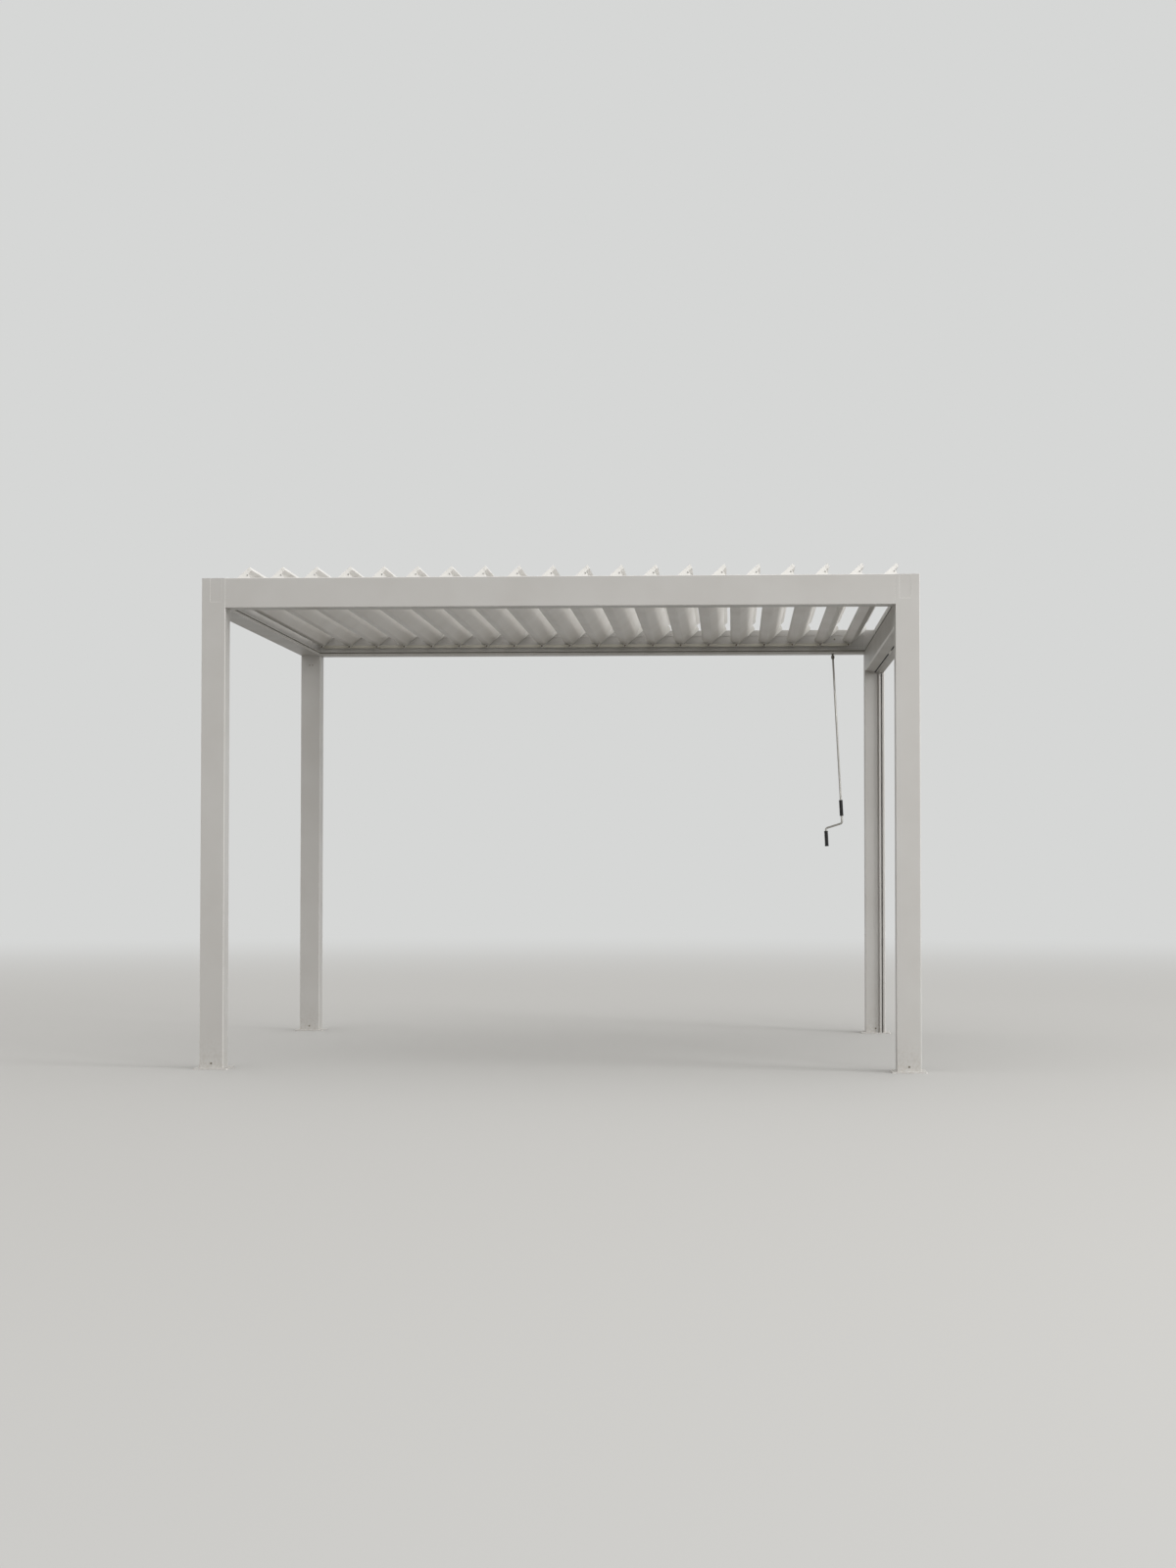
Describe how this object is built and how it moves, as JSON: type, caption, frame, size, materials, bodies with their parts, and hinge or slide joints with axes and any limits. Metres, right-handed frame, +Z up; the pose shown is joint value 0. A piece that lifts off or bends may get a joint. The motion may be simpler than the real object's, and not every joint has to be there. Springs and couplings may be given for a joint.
{
  "type": "louvred roof pergola",
  "caption": "Free-standing aluminium pergola with square posts, a gutter beam frame and a roof of turning louvres worked by a hand crank.",
  "frame": {"origin": "on the ground, under the middle of the rectangle of the four foot plates", "axes": "+X to the right as seen from the front, along the long side; +Y to the back, along the louvres; +Z up"},
  "size_m": [3.655, 3.055, 2.5334],
  "materials": {
    "white_coated_aluminium": "fine satin powder coat",
    "white_plastic": "moulded",
    "mill_aluminium": "plain",
    "gearbox_metal": "painted",
    "crank_steel": "satin",
    "black_grip": "ribbed",
    "black_plastic": "satin"
  },
  "bodies": {
    "frame": {"post_front_left": "white_coated_aluminium", "post_front_right": "white_coated_aluminium", "post_back_left": "white_coated_aluminium", "post_back_right": "white_coated_aluminium", "beam_front": "white_coated_aluminium", "beam_back": "white_coated_aluminium", "beam_right": "white_coated_aluminium", "beam_left": "white_coated_aluminium", "screen_housing": "white_coated_aluminium", "screen_guides": "white_coated_aluminium", "foot_plates": "white_coated_aluminium", "crank_gearbox": "gearbox_metal", "screen_bottom_bar": "black_plastic"},
    "louvre_01": {"louvre_blade_01": "white_coated_aluminium", "louvre_caps_01": "white_plastic"},
    "louvre_02": {"louvre_blade_02": "white_coated_aluminium", "louvre_caps_02": "white_plastic"},
    "louvre_03": {"louvre_blade_03": "white_coated_aluminium", "louvre_caps_03": "white_plastic"},
    "louvre_04": {"louvre_blade_04": "white_coated_aluminium", "louvre_caps_04": "white_plastic"},
    "louvre_05": {"louvre_blade_05": "white_coated_aluminium", "louvre_caps_05": "white_plastic"},
    "louvre_06": {"louvre_blade_06": "white_coated_aluminium", "louvre_caps_06": "white_plastic"},
    "louvre_07": {"louvre_blade_07": "white_coated_aluminium", "louvre_caps_07": "white_plastic"},
    "louvre_08": {"louvre_blade_08": "white_coated_aluminium", "louvre_caps_08": "white_plastic"},
    "louvre_09": {"louvre_blade_09": "white_coated_aluminium", "louvre_caps_09": "white_plastic"},
    "louvre_10": {"louvre_blade_10": "white_coated_aluminium", "louvre_caps_10": "white_plastic"},
    "louvre_11": {"louvre_blade_11": "white_coated_aluminium", "louvre_caps_11": "white_plastic"},
    "louvre_12": {"louvre_blade_12": "white_coated_aluminium", "louvre_caps_12": "white_plastic"},
    "louvre_13": {"louvre_blade_13": "white_coated_aluminium", "louvre_caps_13": "white_plastic"},
    "louvre_14": {"louvre_blade_14": "white_coated_aluminium", "louvre_caps_14": "white_plastic"},
    "louvre_15": {"louvre_blade_15": "white_coated_aluminium", "louvre_caps_15": "white_plastic"},
    "louvre_16": {"louvre_blade_16": "white_coated_aluminium", "louvre_caps_16": "white_plastic"},
    "louvre_17": {"louvre_blade_17": "white_coated_aluminium", "louvre_caps_17": "white_plastic"},
    "louvre_18": {"louvre_blade_18": "white_coated_aluminium", "louvre_caps_18": "white_plastic"},
    "louvre_19": {"louvre_blade_19": "white_coated_aluminium", "louvre_caps_19": "white_plastic"},
    "louvre_20": {"louvre_blade_20": "white_coated_aluminium", "louvre_caps_20": "white_plastic"},
    "link_bar": {"link_bar": "mill_aluminium"},
    "crank": {"crank_shaft": "gearbox_metal", "crank_rod": "crank_steel", "crank_upper_grip": "black_grip", "crank_handle_grip": "black_grip"}
  },
  "joints": [
    {"name": "louvre_01_turn", "type": "hinge", "parent": "frame", "child": "louvre_01", "pos_m": [-1.628, 0, 2.4478], "axis": [0, 1, 0], "range_deg": [-48, 33.5]},
    {"name": "louvre_02_turn", "type": "hinge", "parent": "frame", "child": "louvre_02", "pos_m": [-1.4564, 0, 2.4478], "axis": [0, 1, 0], "range_deg": [-48, 33.5]},
    {"name": "louvre_03_turn", "type": "hinge", "parent": "frame", "child": "louvre_03", "pos_m": [-1.2848, 0, 2.4478], "axis": [0, 1, 0], "range_deg": [-48, 33.5]},
    {"name": "louvre_04_turn", "type": "hinge", "parent": "frame", "child": "louvre_04", "pos_m": [-1.1132, 0, 2.4478], "axis": [0, 1, 0], "range_deg": [-48, 33.5]},
    {"name": "louvre_05_turn", "type": "hinge", "parent": "frame", "child": "louvre_05", "pos_m": [-0.9416, 0, 2.4478], "axis": [0, 1, 0], "range_deg": [-48, 33.5]},
    {"name": "louvre_06_turn", "type": "hinge", "parent": "frame", "child": "louvre_06", "pos_m": [-0.77, 0, 2.4478], "axis": [0, 1, 0], "range_deg": [-48, 33.5]},
    {"name": "louvre_07_turn", "type": "hinge", "parent": "frame", "child": "louvre_07", "pos_m": [-0.5984, 0, 2.4478], "axis": [0, 1, 0], "range_deg": [-48, 33.5]},
    {"name": "louvre_08_turn", "type": "hinge", "parent": "frame", "child": "louvre_08", "pos_m": [-0.4268, 0, 2.4478], "axis": [0, 1, 0], "range_deg": [-48, 33.5]},
    {"name": "louvre_09_turn", "type": "hinge", "parent": "frame", "child": "louvre_09", "pos_m": [-0.2552, 0, 2.4478], "axis": [0, 1, 0], "range_deg": [-48, 33.5]},
    {"name": "louvre_10_turn", "type": "hinge", "parent": "frame", "child": "louvre_10", "pos_m": [-0.0836, 0, 2.4478], "axis": [0, 1, 0], "range_deg": [-48, 33.5]},
    {"name": "louvre_11_turn", "type": "hinge", "parent": "frame", "child": "louvre_11", "pos_m": [0.088, 0, 2.4478], "axis": [0, 1, 0], "range_deg": [-48, 33.5]},
    {"name": "louvre_12_turn", "type": "hinge", "parent": "frame", "child": "louvre_12", "pos_m": [0.2596, 0, 2.4478], "axis": [0, 1, 0], "range_deg": [-48, 33.5]},
    {"name": "louvre_13_turn", "type": "hinge", "parent": "frame", "child": "louvre_13", "pos_m": [0.4312, 0, 2.4478], "axis": [0, 1, 0], "range_deg": [-48, 33.5]},
    {"name": "louvre_14_turn", "type": "hinge", "parent": "frame", "child": "louvre_14", "pos_m": [0.6028, 0, 2.4478], "axis": [0, 1, 0], "range_deg": [-48, 33.5]},
    {"name": "louvre_15_turn", "type": "hinge", "parent": "frame", "child": "louvre_15", "pos_m": [0.7744, 0, 2.4478], "axis": [0, 1, 0], "range_deg": [-48, 33.5]},
    {"name": "louvre_16_turn", "type": "hinge", "parent": "frame", "child": "louvre_16", "pos_m": [0.946, 0, 2.4478], "axis": [0, 1, 0], "range_deg": [-48, 33.5]},
    {"name": "louvre_17_turn", "type": "hinge", "parent": "frame", "child": "louvre_17", "pos_m": [1.1176, 0, 2.4478], "axis": [0, 1, 0], "range_deg": [-48, 33.5]},
    {"name": "louvre_18_turn", "type": "hinge", "parent": "frame", "child": "louvre_18", "pos_m": [1.2892, 0, 2.4478], "axis": [0, 1, 0], "range_deg": [-48, 33.5]},
    {"name": "louvre_19_turn", "type": "hinge", "parent": "frame", "child": "louvre_19", "pos_m": [1.4608, 0, 2.4478], "axis": [0, 1, 0], "range_deg": [-48, 33.5]},
    {"name": "louvre_20_turn", "type": "hinge", "parent": "frame", "child": "louvre_20", "pos_m": [1.6324, 0, 2.4478], "axis": [0, 1, 0], "range_deg": [-48, 33.5]},
    {"name": "link_bar_pivot", "type": "hinge", "parent": "louvre_01", "child": "link_bar", "pos_m": [-1.67874, 1.432, 2.37802], "axis": [0, 1, 0], "range_deg": [-34, 48.5]},
    {"name": "crank_spin", "type": "hinge", "parent": "frame", "child": "crank", "pos_m": [1.485, 1.415, 2.3335], "axis": [-0.0523, 0, 0.9986], "range_deg": [-960, 670]}
  ],
  "couplings": [
    {"joint": "louvre_02_turn", "follows": "louvre_01_turn", "ratio": 1},
    {"joint": "louvre_03_turn", "follows": "louvre_01_turn", "ratio": 1},
    {"joint": "louvre_04_turn", "follows": "louvre_01_turn", "ratio": 1},
    {"joint": "louvre_05_turn", "follows": "louvre_01_turn", "ratio": 1},
    {"joint": "louvre_06_turn", "follows": "louvre_01_turn", "ratio": 1},
    {"joint": "louvre_07_turn", "follows": "louvre_01_turn", "ratio": 1},
    {"joint": "louvre_08_turn", "follows": "louvre_01_turn", "ratio": 1},
    {"joint": "louvre_09_turn", "follows": "louvre_01_turn", "ratio": 1},
    {"joint": "louvre_10_turn", "follows": "louvre_01_turn", "ratio": 1},
    {"joint": "louvre_11_turn", "follows": "louvre_01_turn", "ratio": 1},
    {"joint": "louvre_12_turn", "follows": "louvre_01_turn", "ratio": 1},
    {"joint": "louvre_13_turn", "follows": "louvre_01_turn", "ratio": 1},
    {"joint": "louvre_14_turn", "follows": "louvre_01_turn", "ratio": 1},
    {"joint": "louvre_15_turn", "follows": "louvre_01_turn", "ratio": 1},
    {"joint": "louvre_16_turn", "follows": "louvre_01_turn", "ratio": 1},
    {"joint": "louvre_17_turn", "follows": "louvre_01_turn", "ratio": 1},
    {"joint": "louvre_18_turn", "follows": "louvre_01_turn", "ratio": 1},
    {"joint": "louvre_19_turn", "follows": "louvre_01_turn", "ratio": 1},
    {"joint": "louvre_20_turn", "follows": "louvre_01_turn", "ratio": 1},
    {"joint": "link_bar_pivot", "follows": "louvre_01_turn", "ratio": -1},
    {"joint": "crank_spin", "follows": "louvre_01_turn", "ratio": 20}
  ]
}
